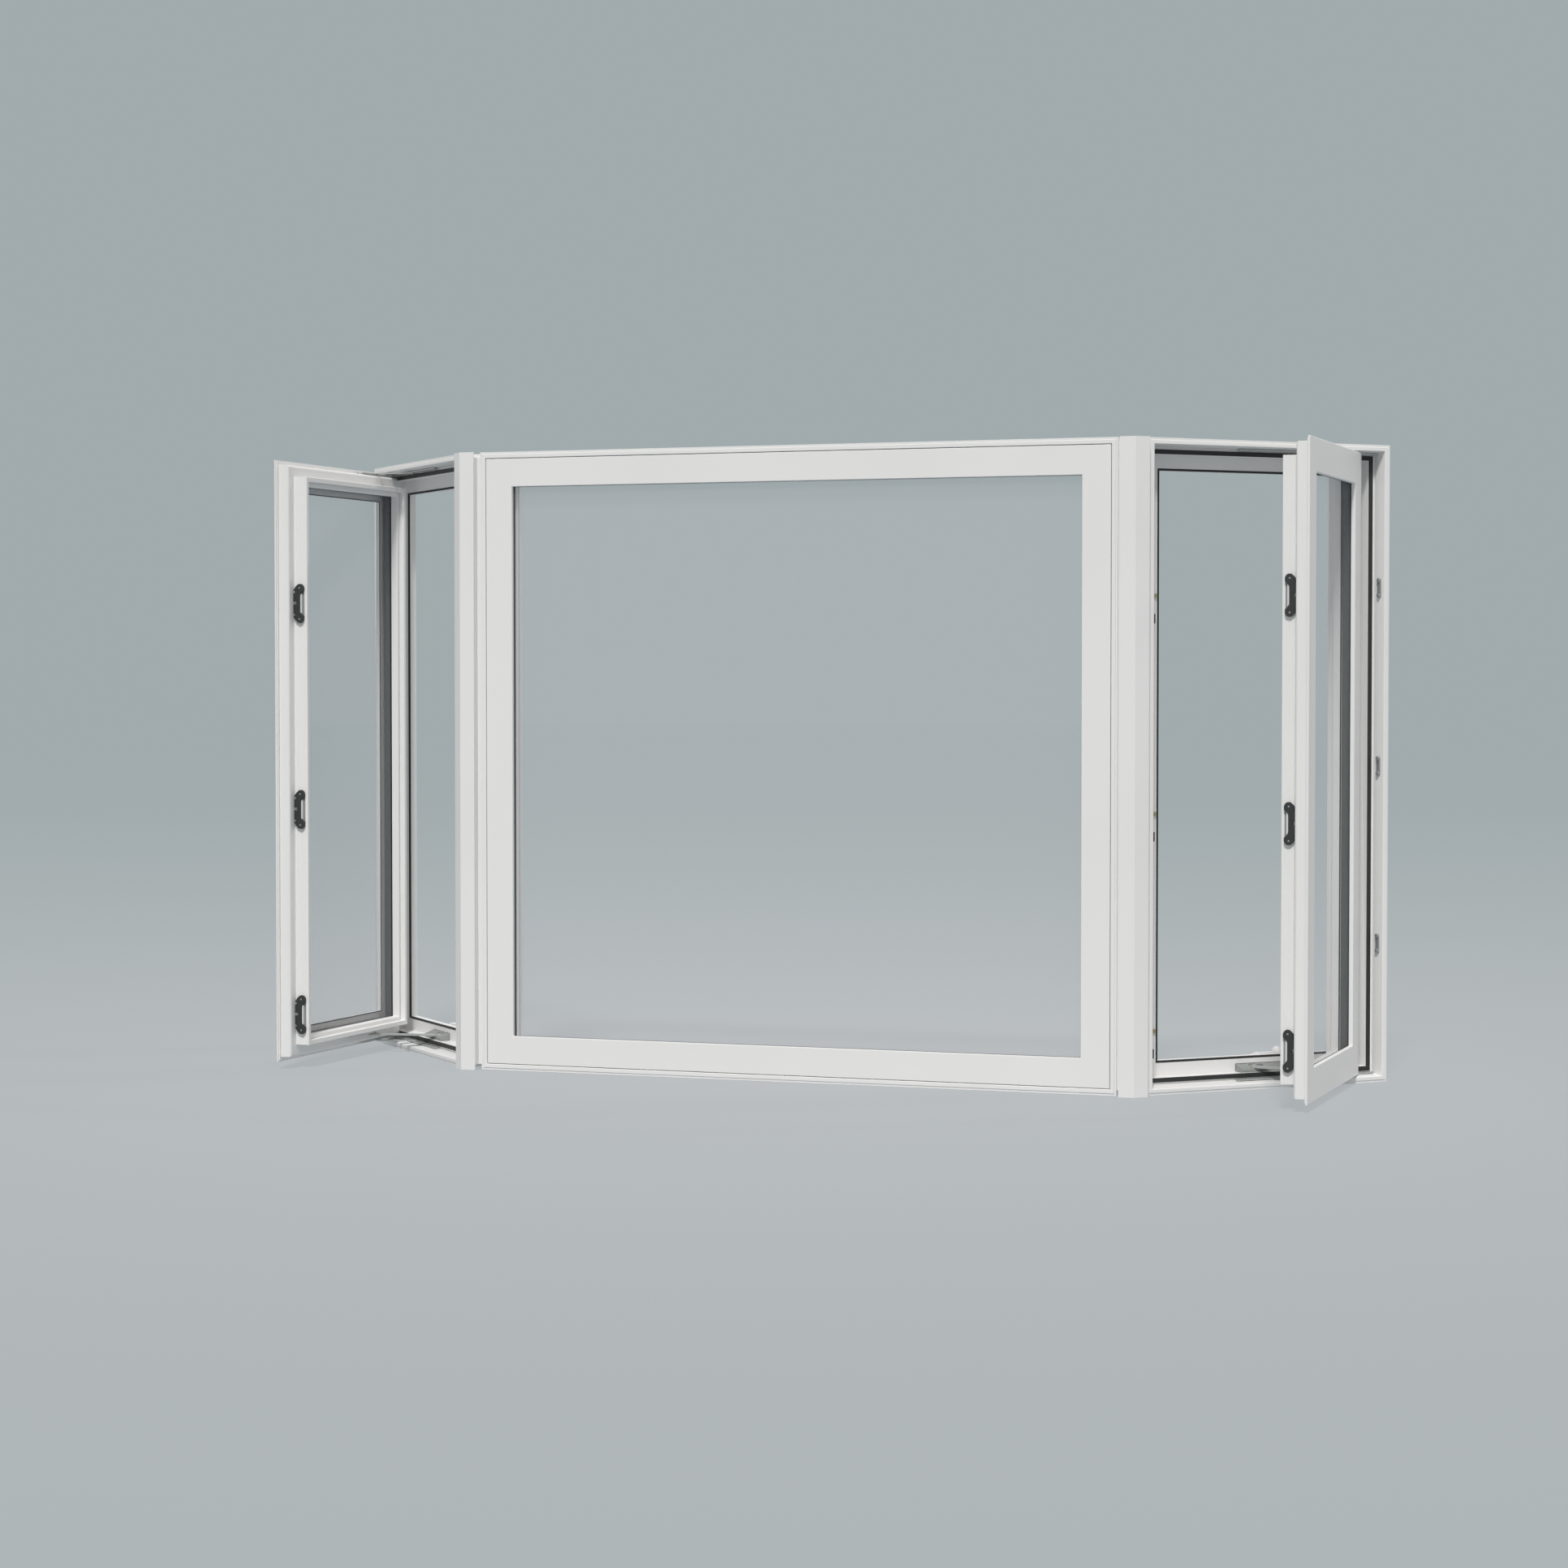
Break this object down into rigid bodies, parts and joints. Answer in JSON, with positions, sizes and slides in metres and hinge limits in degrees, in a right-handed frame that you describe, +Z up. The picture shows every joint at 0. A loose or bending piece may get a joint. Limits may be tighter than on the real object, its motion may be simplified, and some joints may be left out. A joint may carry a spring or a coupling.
{
  "type": "bay window",
  "caption": "Angled bay window in white PVC: wide fixed centre light between two outward-opened crank casements, joined by corner posts with angled covers.",
  "frame": {"origin": "middle of the centre frame's flat underside, at mid depth of the frame, on the level it stands on", "axes": "+X to the right as seen from outside, along the centre unit's width; +Y from the outside towards the room; +Z up"},
  "size_m": [2.6932, 0.735, 1.524],
  "materials": {
    "vinyl": "smooth white extruded PVC, satin",
    "seal": "black flexible gasket, matte",
    "spacer_bar": "dark grey warm-edge spacer",
    "glass": "clear float glass, sealed double unit",
    "keeper_coat": "black powder coat",
    "roller_metal": "yellow passivated steel, worn",
    "hinge_metal": "grey stainless, brushed",
    "shoe_brass": "cast brass, dull",
    "track_metal": "pale anodised channel",
    "operator_coat": "grey painted zinc casting",
    "cover_plastic": "white moulded cover and crank"
  },
  "bodies": {
    "root": {"centre_frame": "vinyl", "centre_weatherstrip": "seal", "centre_sash": "vinyl", "centre_glazing_bead": "vinyl", "centre_glazing_gasket": "seal", "centre_spacer": "spacer_bar", "centre_glass": "glass", "left_frame": "vinyl", "left_weatherstrip": "seal", "left_inner_gasket": "seal", "left_sash": "vinyl", "left_glazing_bead": "vinyl", "left_glazing_gasket": "seal", "left_spacer": "spacer_bar", "left_glass": "glass", "left_keepers": "keeper_coat", "left_lock_rollers": "roller_metal", "left_snubbers": "hinge_metal", "left_hinge_tracks": "hinge_metal", "left_hinge_arms": "hinge_metal", "left_operator": "operator_coat", "left_operator_arm": "hinge_metal", "left_operator_shoe": "shoe_brass", "left_sash_track": "track_metal", "left_crank_cover": "cover_plastic", "left_crank_handle": "cover_plastic", "left_corner_post": "vinyl", "left_post_cover": "vinyl", "right_frame": "vinyl", "right_weatherstrip": "seal", "right_inner_gasket": "seal", "right_sash": "vinyl", "right_glazing_bead": "vinyl", "right_glazing_gasket": "seal", "right_spacer": "spacer_bar", "right_glass": "glass", "right_keepers": "keeper_coat", "right_lock_rollers": "roller_metal", "right_snubbers": "hinge_metal", "right_hinge_tracks": "hinge_metal", "right_hinge_arms": "hinge_metal", "right_operator": "operator_coat", "right_operator_arm": "hinge_metal", "right_operator_shoe": "shoe_brass", "right_sash_track": "track_metal", "right_crank_cover": "cover_plastic", "right_crank_handle": "cover_plastic", "right_corner_post": "vinyl", "right_post_cover": "vinyl"}
  },
  "joints": []
}
